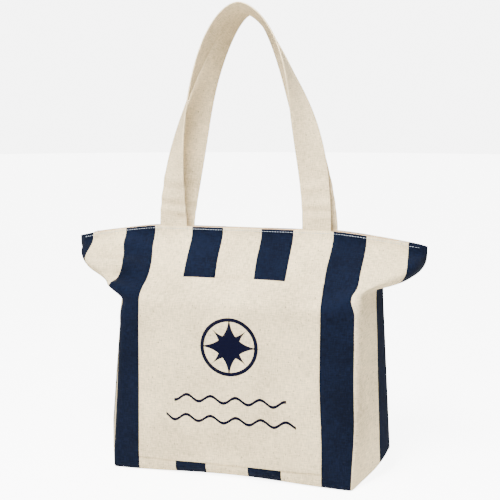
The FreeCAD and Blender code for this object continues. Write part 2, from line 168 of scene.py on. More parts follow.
# The cloth's slack. A long wave is its height, its lengths across and along, and its turn.
# A patch is its height or slide, then its middle and reach across the cloth and along it.
WAVE_LIFT = 0.0011
LONG_WAVES = ((1.0, 0.21, 0.63, 1.0), (0.6, 0.083, -0.30, 2.1), (0.5, 0.37, 0.115, 0.7))
LEFT_WING_FOLDS = (0.0064, (-0.176, 0.034), (0.072, 0.050))
RIGHT_WING_FOLDS = ((-0.0050, (0.186, 0.024), (0.082, 0.017)),
                    (0.0022, (0.150, 0.030), (0.118, 0.016)),
                    (-0.0020, (0.158, 0.034), (0.142, 0.014)))
WALL_CRUMPLES = ((-0.0046, (-0.010, 0.075), (0.088, 0.030)),
                 (0.0022, (0.128, 0.020), (0.055, 0.028)))
WING_CRUMPLES = ((-0.0130, (-0.160, 0.048), (0.071, 0.031)),
                 (0.0040, (-0.176, 0.030), (0.112, 0.012)),
                 (0.0065, (0.172, 0.022), (0.104, 0.013)))
LEFT_TUCK = 0.0150
RIGHT_LEAN = 0.0065
CORNER_DRAWN = 0.0050
TIP_PUSHED = 0.0060


# ------------------------------------------------------------------ sizes and colours

def length(name, description, default):
    """A length that a user can change."""
    return bpy.props.FloatProperty(name=name, description=description, default=default,
                                   min=0.0, unit="LENGTH", precision=5)


def colour(name, description, red, green, blue):
    """A colour that a user can change, given as it looks on a screen, from 0 to 255."""
    linear = [((value / 255 + 0.055) / 1.055) ** 2.4 for value in (red, green, blue)]
    return bpy.props.FloatVectorProperty(name=name, description=description, default=linear,
                                         subtype="COLOR", min=0.0, max=1.0, size=3)


class ToteSizes(bpy.types.PropertyGroup):
    """Sizes of the cloth, its stripes and its sewing."""
    natural_stripe: length("Natural stripe", "Width of an undyed stripe", 0.0556)
    navy_stripe: length("Navy stripe", "Width of a dyed stripe", 0.0450)
    canvas_thickness: length("Canvas", "Thickness of the canvas", 0.0012)
    tape_thickness: length("Tape", "Thickness of the woven tapes", 0.0006)
    facing_thickness: length("Facing", "Thickness of the mouth's facing", 0.0009)
    strap_width: length("Strap width", "Width of a handle", 0.040)
    strap_thickness: length("Strap thickness", "Thickness of a handle", 0.002)
    front_slide: length("Slide", "How far the stripes have slid sideways on the wall", 0.006)
    base_round: length("Base round", "Round of the lower edge at the bag's middle", 0.020)
    corner_round: length("Corner round", "Round of the lower edge at the corners", 0.004)
    pocket_width: length("Pocket width", "Width of the pocket", 0.2568)
    pocket_room: length("Pocket room", "How far the pocket's middle stands off", 0.0046)
    stitch_length: length("Stitch", "Length of one stitch", 0.0029)
    stitch_pitch: length("Stitch pitch", "Distance from stitch to stitch", 0.0037)
    stitch_thickness: length("Thread", "Thickness of the sewing thread", 0.0005)
    thread_pitch: length("Weave", "Distance from thread to thread in the canvas", 0.0011)
    print_half: length("Print", "Half the width of the printed star", 0.047)


class ToteColours(bpy.types.PropertyGroup):
    """Colours of the cloth, thread and metal."""
    natural: colour("Natural", "Undyed canvas", 226, 206, 164)
    navy: colour("Navy", "Dyed canvas", 9, 16, 32)
    # painted shade: the undyed canvas colour made darker and tanner for the inside of the mouth
    shaded_lining: colour("Inside", "Undyed canvas inside the bag", 214, 184, 146)
    strap: colour("Strap", "Handles", 223, 202, 160)
    ink: colour("Ink", "Printed star", 2, 4, 26)
    thread: colour("Thread", "Sewing thread", 186, 196, 206)
    tape: colour("Tape", "Zip tapes and bindings", 214, 205, 189)
    teeth: colour("Teeth", "Zip teeth", 208, 201, 188)
    metal: colour("Metal", "Zip slider, pull and stops", 196, 196, 194)
    label: colour("Label", "Care label", 240, 239, 235)
    floor: colour("Floor", "Floor under the bag", 250, 250, 250)


# ------------------------------------------------------------------ surfaces

def share_of(value, low, high):
    """How far a value is from low to high, kept from 0 to 1."""
    return np.clip((value - low) / (high - low), 0.0, 1.0)


def eased(value, low, high):
    """The same share, with a smooth start and end."""
    share = share_of(value, low, high)
    return share * share * (3 - 2 * share)


def hump(value, middle, reach):
    """One at the middle, falling smoothly to nothing a few reaches away."""
    return np.exp(-((value - middle) / reach) ** 2)


def between(low, high, share):
    """The value at a share of the way from low to high."""
    return low + (high - low) * share


def points_of(x, y, z):
    """Coordinates, stretched to one shape, as an array of points."""
    return np.stack(np.broadcast_arrays(x, y, z), axis=-1).astype(float)


def length_of(value):
    """Length of each vector of an array, with its last axis kept."""
    return np.linalg.norm(value, axis=-1, keepdims=True)


def unit(value):
    """Each vector of an array at length one."""
    return value / np.maximum(length_of(value), TINY)


def walk(corners, count):
    """Points at even distances along many broken lines at once.

    corners holds each line's corners down its first axis. A point is the first corner plus, for
    each leg, the share of that leg that its distance has passed times the leg.
    """
    legs = corners[1:] - corners[:-1]
    lengths = length_of(legs)
    starts = np.concatenate([np.zeros_like(lengths[:1]), np.cumsum(lengths, axis=0)])
    fractions = np.linspace(0, 1, count).reshape((count,) + (1,) * (corners.ndim - 1))
    distance = fractions * starts[-1]
    result = np.broadcast_to(corners[0], (count,) + corners[0].shape).copy()
    for start, leg, size in zip(starts, legs, lengths):
        result += np.clip((distance - start) / np.maximum(size, TINY), 0, 1) * leg
    return result


def smoothed(grid, passes, weight):
    """A grid whose inner points have moved towards their neighbours' mean, each row by its weight.

    Each pass moves a point by half its weight to the mean of the two above and below it, and
    then by the same share to the mean of the two beside it.
    """
    grid = grid.copy()
    for _ in range(passes):
        up_down = (grid[:-2] + grid[2:]) / 2
        grid[1:-1] += (up_down - grid[1:-1]) / 2 * weight[1:-1]
        sides = (grid[:, :-2] + grid[:, 2:]) / 2
        grid[:, 1:-1] += (sides - grid[:, 1:-1]) / 2 * weight
    return grid


class Surface:
    """A grid of points with even steps, which can be read between its points."""

    def __init__(self, points):
        self.points = points
        down = np.gradient(points, axis=0)
        right = np.gradient(points, axis=1)
        self.normals = unit(np.cross(down, right))
        steps = np.linalg.norm(np.diff(points, axis=0), axis=-1)
        self.column_length = steps.sum(axis=0)

    def read(self, values, row, column):
        """Values at fractional rows and columns, by the mean of the four points around each."""
        last_row = values.shape[0] - 2
        last_column = values.shape[1] - 2
        low_row = np.clip(np.floor(row).astype(int), 0, last_row)
        low_column = np.clip(np.floor(column).astype(int), 0, last_column)
        down = (row - low_row)[..., None]
        right = (column - low_column)[..., None]
        top = between(values[low_row, low_column], values[low_row, low_column + 1], right)
        foot = between(values[low_row + 1, low_column], values[low_row + 1, low_column + 1], right)
        return between(top, foot, down)

    def at(self, across, along, lift=0.0):
        """Points at a distance across from the middle and along from the hem, lifted off."""
        across, along = np.broadcast_arrays(across, along)
        column = (across + HALF_MOUTH) / (2 * HALF_MOUTH) * (self.points.shape[1] - 1)
        low = np.clip(np.floor(column).astype(int), 0, self.points.shape[1] - 2)
        whole = between(self.column_length[low], self.column_length[low + 1], column - low)
        row = along / whole * (self.points.shape[0] - 1)
        normal = unit(self.read(self.normals, row, column))
        return self.read(self.points, row, column) + normal * np.asarray(lift)[..., None]


def canvas_corners(across, base_round, corner_round):
    """Each column's corners, from the hem down to the middle of the base.

    The hem band is upright, and the front leans out from it to the shoulder. From the wing's
    fold a quarter ellipse turns in to the gusset, which stands on the base's quarter round.
    """
    reach = np.abs(across)
    turn = np.maximum(0.0, (reach - FRONT_HALF) / GUSSET_SLANT)
    closing = np.sqrt(np.maximum(0.0, 1 - turn ** CLOSING_POWER))
    droop = WING_DROOP + LEFT_DROOP * (across < 0)
    hem_top = HEM_HEIGHT - droop * share_of(reach, POCKET_HALF, HALF_MOUTH) ** DROOP_POWER
    wall_x = np.minimum(reach, FRONT_HALF) + GUSSET_BULGE * turn
    wall_y = HALF_DEPTH * (1 - turn)
    foot = CORNER_RISE * turn ** CORNER_RISE_POWER
    radius = between(base_round, corner_round, eased(reach, 0.0, FRONT_HALF)) * (1 - turn)
    front_root = between(SHOULDER_HEIGHT, CORNER_HEIGHT, share_of(reach, POCKET_HALF, FRONT_HALF))
    root_height = np.where(turn > 0, between(CORNER_HEIGHT, WING_ROOT_HEIGHT, turn), front_root)
    root = points_of(wall_x - WING_ROOT_INSET * turn, -wall_y, root_height)
    fold_height = between(CORNER_HEIGHT, HEM_HEIGHT - WING_DROOP - WING_TIP_EDGE, turn)
    lean = share_of(fold_height, CORNER_HEIGHT, HEM_HEIGHT - HEM_BAND)
    fold = points_of(reach, -between(HALF_DEPTH, HEM_HALF, lean) * closing, fold_height)
    fold = np.where((turn > 0)[:, None], fold, root)
    hem_y = -HEM_HALF * closing

    corners = [points_of(reach, hem_y, hem_top), points_of(reach, hem_y, hem_top - HEM_BAND)]
    for angle in np.linspace(math.pi / 2, 0, ARC_STEPS):
        swing = np.array([math.sin(angle), math.sin(angle), 1 - math.cos(angle)])
        corners.append(root + (fold - root) * swing)
    for angle in np.linspace(math.pi / 2, 0, ARC_STEPS):
        corners.append(points_of(wall_x, -wall_y + radius * (1 - math.sin(angle)),
                                 foot + radius * (1 - math.cos(angle))))
    corners.append(points_of(wall_x, 0.0, foot))
    corners = np.stack(corners)
    corners[..., 0] *= np.where(across < 0, -1.0, 1.0)
    return corners


def patches(across, along, rows):
    """The sum of rounded patches, each its height times a hump across and a hump along."""
    return sum(height * hump(across, *beside) * hump(along, *below)
               for height, beside, below in rows)


def soft_folds(across, along, phase):
    """Height of the cloth's loose waves, which die away at the hem, the seams and the base.

    Three long waves run over the whole panel. The wings carry shorter folds that run across
    them, where the cloth is pushed down on the filled corners.
    """
    side = np.minimum(share_of(HALF_MOUTH - np.abs(across), 0.0, 0.03),
                      share_of(along, 0.008, 0.05))
    low = share_of(0.36 - along, 0.0, 0.05)
    wave = sum(size * np.sin(2 * math.pi * (across / wide + along / deep) + phase * turn)
               for size, wide, deep, turn in LONG_WAVES)
    strength = 0.35 + 0.65 * hump(along, 0.055, 0.045)
    height = WAVE_LIFT * wave * side * low * strength
    left = patches(across, along, (LEFT_WING_FOLDS,))
    height += left * np.sin(2 * math.pi * (along / 0.043 - across / 0.26) + 0.9)
    return height + patches(across, along, RIGHT_WING_FOLDS)


def side_shift(x, z):
    """How far to the right the sides stand of their upright places.

    The left side is tucked in under its wing, whose tip is pushed in too. The right side leans
    out towards the base, and its front corner is drawn in where it stands on the floor.
    """
    under_wing = share_of(z, 0.02, 0.24) * (1 - eased(z, 0.242, 0.268))
    tuck = LEFT_TUCK * hump(x, -0.182, 0.038) * under_wing
    lean = RIGHT_LEAN * eased(x, 0.178, 0.200) * (1 - share_of(z, 0.03, 0.25))
    drawn = CORNER_DRAWN * hump(x, 0.171, 0.016) * (1 - eased(z, 0.0, 0.11))
    pushed = TIP_PUSHED * eased(-x, 0.180, 0.254) * eased(z, 0.262, 0.285)
    return tuck + lean - drawn + pushed


def canvas_points(sizes, phase):
    """The front canvas as a grid: rows run down from the hem, and columns across."""
    across = np.linspace(-HALF_MOUTH, HALF_MOUTH, CANVAS_COLUMNS)
    grid = walk(canvas_corners(across, sizes.base_round, sizes.corner_round), CANVAS_ROWS)
    fractions = np.linspace(0, 1, grid.shape[0])[:, None]
    weight = 1 - 0.85 * eased(fractions, 0.70, 0.80)
    grid = smoothed(grid, passes=10, weight=weight[..., None])
    surface = Surface(grid)
    along = fractions * surface.column_length
    grid[..., 0] += side_shift(grid[..., 0], grid[..., 2])
    height = soft_folds(across[None, :], along, phase)
    grid = grid + surface.normals * height[..., None]
    return grid, across, along


# ------------------------------------------------------------------ meshes

def new_mesh(name, points, faces):
    """A mesh object of whole arrays of points and four-cornered faces, shaded smooth."""
    mesh = bpy.data.meshes.new(name)
    mesh.from_pydata(points.reshape(-1, 3).tolist(), [], faces.tolist())
    mesh.polygons.foreach_set("use_smooth", np.ones(len(mesh.polygons), bool))
    mesh.update()
    piece = bpy.data.objects.new(name, mesh)
    bpy.context.scene.collection.objects.link(piece)
    return piece


def grid_faces(rows, columns, around=False):
    """Corner numbers of a grid's faces. One that goes around joins its last column to its first."""
    row = np.arange(rows - 1)[:, None]
    column = np.arange(columns if around else columns - 1)[None, :]
    after = (column + 1) % columns
    corners = [row * columns + column, (row + 1) * columns + column,
               (row + 1) * columns + after, row * columns + after]
    return np.stack([corner.ravel() for corner in corners], axis=1)


def put_uv(piece, coordinates):
    """Give a mesh its UV map, from one pair of coordinates in metres for each point."""
    layer = piece.data.uv_layers.new(name="Cloth")
    corners = np.empty(len(piece.data.loops), dtype=np.int32)
    piece.data.loops.foreach_get("vertex_index", corners)
    layer.data.foreach_set("uv", coordinates.reshape(-1, 2)[corners].ravel())


def sheet_piece(name, grid, across, along, turned_over=False):
    """A sheet from a grid, with its distances across and along as its UV map."""
    faces = grid_faces(*grid.shape[:2])
    if turned_over:
        faces = faces[:, ::-1]
    piece = new_mesh(name, grid, faces)
    put_uv(piece, np.stack(np.broadcast_arrays(across, along), axis=-1))
    return piece


def thicken(piece, thickness, rounded=0.3):
    """Give a sheet its thickness inwards, and take the sharpness off its cut edges."""
    solidify = piece.modifiers.new("Thickness", "SOLIDIFY")
    solidify.thickness = thickness
    solidify.offset = -1.0
    bevel = piece.modifiers.new("Edge", "BEVEL")
    bevel.width = thickness * rounded
    bevel.segments = 1
    bevel.limit_method = "ANGLE"
    bevel.angle_limit = math.radians(70)


def mirrored_back(grid):
    """The same grid on the back of the bag."""
    return grid * np.array([1.0, -1.0, 1.0])


def distances_along(line):
    """Distance of each point of a line from its first."""
    return np.concatenate([[0.0], np.cumsum(length_of(np.diff(line, axis=0))[:, 0])])


def read_line(wanted, distance, values):
    """A line's values at the wanted distances along it."""
    return np.stack([np.interp(wanted, distance, values[:, axis]) for axis in range(3)], axis=1)


def stitches(name, lines, size, pitch, thickness):
    """Rows of stitches along lines of points and outward normals.

    A stitch is a small grain: rings of six points whose radius follows a rounded profile.
    Its middle is lifted, and its ends sink by a fourth power of the place along it.
    """
    places = np.array([-1.0, -0.72, 0.0, 0.72, 1.0])
    radii = np.array([0.25, 0.85, 1.0, 0.85, 0.25])
    lifted, sunk, widened = 0.30, 0.45, 1.15
    angles = np.arange(6) * math.pi / 3
    middles = []
    alongs = []
    ups = []
    for points, normals in lines:
        distance = distances_along(points)
        count = max(2, int(distance[-1] / pitch))
        wanted = (np.arange(count) + 0.5) * distance[-1] / count
        ahead = read_line(wanted + pitch / 4, distance, points)
        before = read_line(wanted - pitch / 4, distance, points)
        along = unit(ahead - before)
        up = read_line(wanted, distance, normals)
        up = unit(up - along * (up * along).sum(axis=1, keepdims=True))
        middles.append(read_line(wanted, distance, points))
        alongs.append(along)
        ups.append(up)
    middle = np.concatenate(middles)[:, None, None, :]
    along = np.concatenate(alongs)[:, None, None, :]
    up = np.concatenate(ups)[:, None, None, :]
    side = np.cross(along, up)
    place = places[None, :, None, None]
    radius = (radii * thickness / 2)[None, :, None, None]
    turn = angles[None, None, :, None]
    rise = thickness * lifted - thickness * sunk * place ** 4
    grain = (middle + along * place * size / 2 + up * (rise + radius * np.cos(turn))
             + side * radius * np.sin(turn) * widened)
    faces = grid_faces(len(places), len(angles), around=True)
    starts = np.arange(len(grain))[:, None, None] * len(places) * len(angles)
    return new_mesh(name, grain, (faces[None] + starts).reshape(-1, 4)[:, ::-1])


def tube_piece(name, centres, wide, thick, profile, across, along):
    """A closed profile carried along a path.

    A point is the path's point plus the profile's first part along the wide direction and its
    second along the thick one. The two ends are closed by drawing them in to their middles.
    """
    ring = (centres[:, None, :] + wide[:, None, :] * profile[None, :, :1]
            + thick[:, None, :] * profile[None, :, 1:])
    drawn_in = 0.02
    caps = []
    for end in (ring[:1], ring[-1:]):
        middle = end.mean(axis=1, keepdims=True)
        caps.append(middle + (end - middle) * drawn_in)
    ring = np.concatenate([caps[0], ring, caps[1]])
    along = np.concatenate([along[:1], along, along[-1:]])
    piece = new_mesh(name, ring, grid_faces(ring.shape[0], ring.shape[1], around=True))
    put_uv(piece, np.stack(np.broadcast_arrays(across[None, :], along[:, None]), axis=-1))
    return piece


# ------------------------------------------------------------------ materials

class Wire:
    """A socket's value, which formulas can be written with."""

    def __init__(self, bench, socket):
        self.bench = bench
        self.socket = socket

    def joined(self, operation, *others):
        """Join this value to others through one Math node."""
        values = {number: value for number, value in enumerate((self,) + others)}
        return self.bench.node("ShaderNodeMath", {"operation": operation}, values)

    def reflected(self, operation, other):
        """The same, with the other value first."""
        return self.bench.node("ShaderNodeMath", {"operation": operation}, {0: other, 1: self})

    def __add__(self, other):
        return self.joined("ADD", other)

    def __radd__(self, other):
        return self.reflected("ADD", other)

    def __sub__(self, other):
        return self.joined("SUBTRACT", other)

    def __rsub__(self, other):
        return self.reflected("SUBTRACT", other)

    def __mul__(self, other):
        return self.joined("MULTIPLY", other)

    def __rmul__(self, other):
        return self.reflected("MULTIPLY", other)

    def __pow__(self, other):
        return self.joined("POWER", other)

    def __gt__(self, other):
        return self.joined("GREATER_THAN", other)

    def __lt__(self, other):
        return self.joined("LESS_THAN", other)

    def __abs__(self):
        return self.joined("ABSOLUTE")

    def sine(self):
        """The sine of this value."""
        return self.joined("SINE")

    def highest(self, other):
        """The higher of two values."""
        return self.joined("MAXIMUM", other)


class Bench:
    """The node tree of a material or a world, with one way to add a node."""

    def __init__(self, owner):
        self.owner = owner
        owner.use_nodes = True
        self.tree = owner.node_tree
        self.tree.nodes.clear()

    def node(self, kind, settings, values, output=0):
        """Add a node: its settings first, then the values or links of its sockets."""
        node = self.tree.nodes.new(kind)
        for key, value in settings.items():
            setattr(node, key, value)
        for key, value in values.items():
            socket = node.inputs[key]
            if isinstance(value, Wire):
                self.tree.links.new(value.socket, socket)
            else:
                socket.default_value = value
        return None if output is None else Wire(self, node.outputs[output])

    def mixed(self, factor, first, second):
        """A colour between two colours."""
        return self.node("ShaderNodeMix", {"data_type": "RGBA"}, {0: factor, 6: first, 7: second},
                         output=2)

    def tinted(self, share, shade, darkest, lightest):
        """One colour, from its darkest to its lightest factor."""
        return self.mixed(share, opaque(shade, darkest), opaque(shade, lightest))

    def object_place(self):
        """A point's place on its own piece."""
        return self.node("ShaderNodeTexCoord", {}, {}, output=3)

    def coordinates(self):
        """The cloth's own map, in metres: across, along, and both together."""
        place = self.node("ShaderNodeUVMap", {"uv_map": "Cloth"}, {})
        across = self.node("ShaderNodeSeparateXYZ", {}, {0: place})
        along = Wire(self, across.socket.node.outputs[1])
        return across, along, place

    def noise(self, place, scale, detail=2.0, stretch=(1, 1, 1)):
        """Smooth noise from 0 to 1 over a place, stretched on its axes."""
        mapped = self.node("ShaderNodeMapping", {}, {"Vector": place, "Scale": stretch})
        return self.node("ShaderNodeTexNoise", {}, {"Vector": mapped, "Scale": scale,
                                                    "Detail": detail, "Roughness": 0.55})

    def finish(self, colour_wire, height, roughness, depth, constants):
        """Close the tree with one shader whose bump comes from a height."""
        bump = self.node("ShaderNodeBump", {}, {"Height": height, "Distance": depth, "Strength": 1.0})
        values = {"Base Color": colour_wire, "Roughness": roughness, "Normal": bump}
        values.update(constants)
        return self.close(self.node("ShaderNodeBsdfPrincipled", {}, values))

    def brighter_to_camera(self, kind, values, bright_values):
        """Close the tree with one shader as the camera sees it, and another for all other rays."""
        plain = self.node(kind, {}, values)
        bright = self.node(kind, {}, bright_values)
        camera_ray = self.node("ShaderNodeLightPath", {}, {})
        return self.close(self.node("ShaderNodeMixShader", {}, {0: camera_ray, 1: plain, 2: bright}))

    def close(self, shader):
        """Join the last shader to the output."""
        is_world = isinstance(self.owner, bpy.types.World)
        kind = "ShaderNodeOutputWorld" if is_world else "ShaderNodeOutputMaterial"
        self.node(kind, {}, {0: shader}, output=None)
        return self.owner


def new_bench(name):
    """The bench of a new material."""
    return Bench(bpy.data.materials.new(name))


def opaque(shade, factor=1.0):
    """A colour property as four numbers, made darker or lighter by a factor."""
    return tuple(min(1.0, value * factor) for value in shade) + (1.0,)


def woven(bench, shade, sizes, fleck_depth, tone_depth, pitch_factor=1.0):
    """Colour and height of plain-woven canvas.

    The height adds up a sine across, a sine along, the product of two sines half as quick,
    where a thread goes over and under in turn, and two stretched noises, which make the
    threads thick and thin. The colour is mottled by those noises, a wide one and small flecks.
    """
    across, along, place = bench.coordinates()
    turns = 2 * math.pi / (sizes.thread_pitch * pitch_factor)
    warp = (across * turns).sine()
    weft = (along * turns).sine()
    crossing = (across * (turns / 2)).sine() * (along * (turns / 2)).sine()
    thick_warp = bench.noise(place, 1.0, 2.0, (780, 110, 1))
    thick_weft = bench.noise(place, 1.0, 2.0, (110, 780, 1))
    height = (warp * 0.22 + weft * 0.22 + crossing * 0.3
              + thick_warp * 1.1 + thick_weft * 1.1)
    slubs = (thick_warp + thick_weft) - 1.0
    cloudy = bench.noise(place, 14.0, 3.0) - 0.5
    tone = slubs * tone_depth + cloudy * (tone_depth * 0.8) + 0.5
    mottled = bench.tinted(tone, shade, 0.60, 1.30)
    fleck_noise = bench.noise(place, 1.0, 0.0, (420, 260, 1))
    fleck = (fleck_noise > FLECK_THRESHOLD) * fleck_depth
    flecked = bench.mixed(fleck, mottled, FLECK_SHADE)
    return flecked, height


def band_mask(reach, sizes):
    """One where a reach lies in one of the dyed bands."""
    repeat = sizes.natural_stripe + sizes.navy_stripe
    shifted = reach - sizes.natural_stripe / 2
    within = shifted.joined("MODULO", repeat)
    return (within < sizes.navy_stripe) * (shifted > 0.0)


def canvas_material(sizes, colours):
    """Striped canvas: navy and natural bands, woven and a little uneven."""
    bench = new_bench("striped_canvas")
    across, _, place = bench.coordinates()
    fray = bench.noise(place, 1.0, 1.0, (300, 700, 1)) - 0.5
    navy = band_mask(abs(across) + fray * 0.0009, sizes)
    natural_shade, height = woven(bench, colours.natural, sizes, 0.60, 1.3)
    navy_shade, _ = woven(bench, colours.navy, sizes, 0.0, 2.4)
    shade = bench.mixed(navy, natural_shade, navy_shade)
    roughness = 0.94 - navy * 0.06
    return bench.finish(shade, height, roughness, CANVAS_BUMP, CLOTH_SHADER)


def pocket_material(sizes, colours):
    """Natural canvas with a printed eight-pointed star and two printed wavy lines under it.

    A point is in a four-pointed star when the square roots of its distances from the star's
    two axes add up to less than the root of its size. A second star is turned by an eighth.
    """
    bench = new_bench("printed_canvas")
    across, along, _ = bench.coordinates()
    natural_shade, height = woven(bench, colours.natural, sizes, 0.60, 1.3)
    x = across - PRINT_ACROSS
    y = along - PRINT_ALONG
    size = sizes.print_half
    upright = abs(x) ** 0.5 + abs(y) ** 0.5 < math.sqrt(size)
    turned_x = (x + y) * math.sqrt(0.5)
    turned_y = (x - y) * math.sqrt(0.5)
    turned = abs(turned_x) ** 0.5 + abs(turned_y) ** 0.5 < math.sqrt(size * PRINT_RING)
    radius = (x * x + y * y) ** 0.5
    ring = abs(radius - size * PRINT_RING) < size * 0.055
    print_mask = upright.highest(turned).highest(ring)
    for drop, half in WAVE_ROWS:
        line = y - drop + (x * (2 * math.pi / WAVE_LENGTH)).sine() * WAVE_HEIGHT
        print_mask = print_mask.highest((abs(line) < WAVE_HALF_THICK) * (abs(x) < half))
    shade = bench.mixed(print_mask, natural_shade, opaque(colours.ink))
    return bench.finish(shade, height, 0.92, CANVAS_BUMP, CLOTH_SHADER)


def plain_cloth(name, shade, sizes, fleck_depth=0.4, pitch_factor=1.0, tone_depth=0.9):
    """Plain-woven cloth of one colour."""
    bench = new_bench(name)
    mottled, height = woven(bench, shade, sizes, fleck_depth, tone_depth, pitch_factor)
    return bench.finish(mottled, height, 0.93, 0.0002, CLOTH_SHADER)


def tape_material(name, shade):
    """Herringbone tape: slanted ribs that change direction from band to band."""
    bench = new_bench(name)
    across, along, place = bench.coordinates()
    band, rib_pitch = 0.004, 0.0016
    zigzag = abs((across * (1 / band)).joined("PINGPONG", 1.0))
    rib = ((along * (2 * math.pi / rib_pitch)) + zigzag * (2 * math.pi)).sine()
    uneven = bench.noise(place, 500.0)
    tone = rib * 0.18 + uneven * 0.4 + 0.3
    tinted = bench.tinted(tone, shade, 0.82, 1.08)
    return bench.finish(tinted, rib * 0.5 + uneven, 0.9, 0.00012, CLOTH_SHADER)


def thread_material(colours):
    """Sewing thread: twisted plies seen as fine slanted lines."""
    bench = new_bench("sewing_thread")
    place = bench.object_place()
    plies = bench.node("ShaderNodeTexWave", {"wave_type": "BANDS", "bands_direction": "DIAGONAL"},
                       {"Vector": place, "Scale": 900.0, "Distortion": 1.5})
    tinted = bench.tinted(bench.noise(place, 400.0), colours.thread, 0.85, 1.1)
    return bench.finish(tinted, plies, 0.7, 0.00008, {"Specular IOR Level": 0.3})


def metal_material(colours):
    """Nickel-plated metal with fine brushed lines and slightly rougher patches."""
    bench = new_bench("plated_metal")
    place = bench.object_place()
    brushed = bench.noise(place, 1.0, 3.0, (300, 4000, 4000))
    dull = bench.noise(place, 260.0)
    roughness = 0.22 + dull * 0.22
    tinted = bench.tinted(dull, colours.metal, 0.9, 1.05)
    return bench.finish(tinted, brushed, roughness, 0.00002, {"Metallic": 1.0})


def uneven_material(name, shade, factors, scale, roughness, depth, gloss):
    """A plain finish that is faintly uneven in its colour and height alike."""
    bench = new_bench(name)
    uneven = bench.noise(bench.object_place(), scale)
    tinted = bench.tinted(uneven, shade, *factors)
    return bench.finish(tinted, uneven, roughness, depth, {"Specular IOR Level": gloss})


def natural_thread(colours):
    """Undyed sewing thread, made once and then shared."""
    name = "natural_thread"
    return bpy.data.materials.get(name) or uneven_material(
        name, colours.strap, (0.72, 0.92), 400.0, 0.8, 0.00008, 0.2)


def facing_cloth(sizes, colours):
    """The canvas inside the mouth, made once and then shared. Its colour is the undyed canvas with
    painted shade, darker and tanner.
    """
    name = "facing_canvas"
    return bpy.data.materials.get(name) or plain_cloth(name, colours.shaded_lining, sizes, 0.3)


def dress(piece, material):
    """Give a piece its material."""
    piece.data.materials.clear()
    piece.data.materials.append(material)
    return piece


def sew(piece, material, node):
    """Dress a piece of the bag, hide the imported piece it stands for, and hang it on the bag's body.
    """
    dress(piece, material)
    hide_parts(node)
    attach(piece, "bag")


# ------------------------------------------------------------------ the operators

def settings_of(context):
    """The user's sizes and colours."""
    return context.scene.tote_sizes, context.scene.tote_colours


def surface_named(name):
    """The surface of a canvas panel that has been made."""
    piece = bpy.data.objects[name]
    points = np.empty(len(piece.data.vertices) * 3)
    piece.data.vertices.foreach_get("co", points)
    return Surface(points.reshape(CANVAS_ROWS, CANVAS_COLUMNS, 3))


def slide_at(across, along, slide):
    """How far left of its own column the cloth shows.

    It has slid left on the wall, more on the right and not at all at the hem. Crumples drag it
    back to the right under the left wing, and a little further left under the right one.
    """
    low = eased(along, 0.20, 0.33)
    on_wall = (slide + 0.010 * across) * eased(along, 0.0, 0.115)
    on_wall = on_wall - 0.0042 * share_of(across, -0.02, 0.06) * low
    on_wall = on_wall + 0.0028 * hump(across, -0.05, 0.035) * low
    on_wall = on_wall + patches(across, along, WALL_CRUMPLES)
    on_wall = on_wall * (1 - eased(np.abs(across), 0.150, 0.235))
    return on_wall + patches(across, along, WING_CRUMPLES)


class TOTE_OT_canvas(bpy.types.Operator):
    """Make the front and back canvas panels with their stripes"""
    bl_idname = "tote.canvas"
    bl_label = "Canvas Panels"

    def execute(self, context):
        sizes, colours = settings_of(context)
        material = canvas_material(sizes, colours)
        for name, phase, is_back in (("front", 0.6, False), ("back", 2.9, True)):
            grid, across, along = canvas_points(sizes, phase)
            pattern = across[None, :] + slide_at(across[None, :], along, sizes.front_slide)
            if is_back:
                pattern = -pattern
                grid = mirrored_back(grid)
            piece = sheet_piece(name + "_canvas_panel", grid, pattern, along, turned_over=is_back)
            thicken(piece, sizes.canvas_thickness)
            sew(piece, material, name + "_canvas")
        return {"FINISHED"}


class TOTE_OT_hem(bpy.types.Operator):
    """Sew the row of stitches along the hem of both panels"""
    bl_idname = "tote.hem"
    bl_label = "Hem Stitches"

    def execute(self, context):
        sizes, colours = settings_of(context)
        thread = thread_material(colours)
        across = np.linspace(-HEM_ROW_REACH, HEM_ROW_REACH, 400)
        for name, sign in SIDES:
            surface = surface_named(name + "_canvas_panel")
            if sign > 0:
                surface = Surface(mirrored_back(surface.points))
            line = surface.at(across, HEM_ROW_INSET)
            normal = unit(surface.at(across, HEM_ROW_INSET, 0.001) - line)
            if sign > 0:
                line = mirrored_back(line)
                normal = mirrored_back(normal)
            row = stitches(name + "_hem_row", [(line, normal)], sizes.stitch_length,
                           sizes.stitch_pitch, sizes.stitch_thickness)
            sew(row, thread, name + "_hem_stitching")
        return {"FINISHED"}


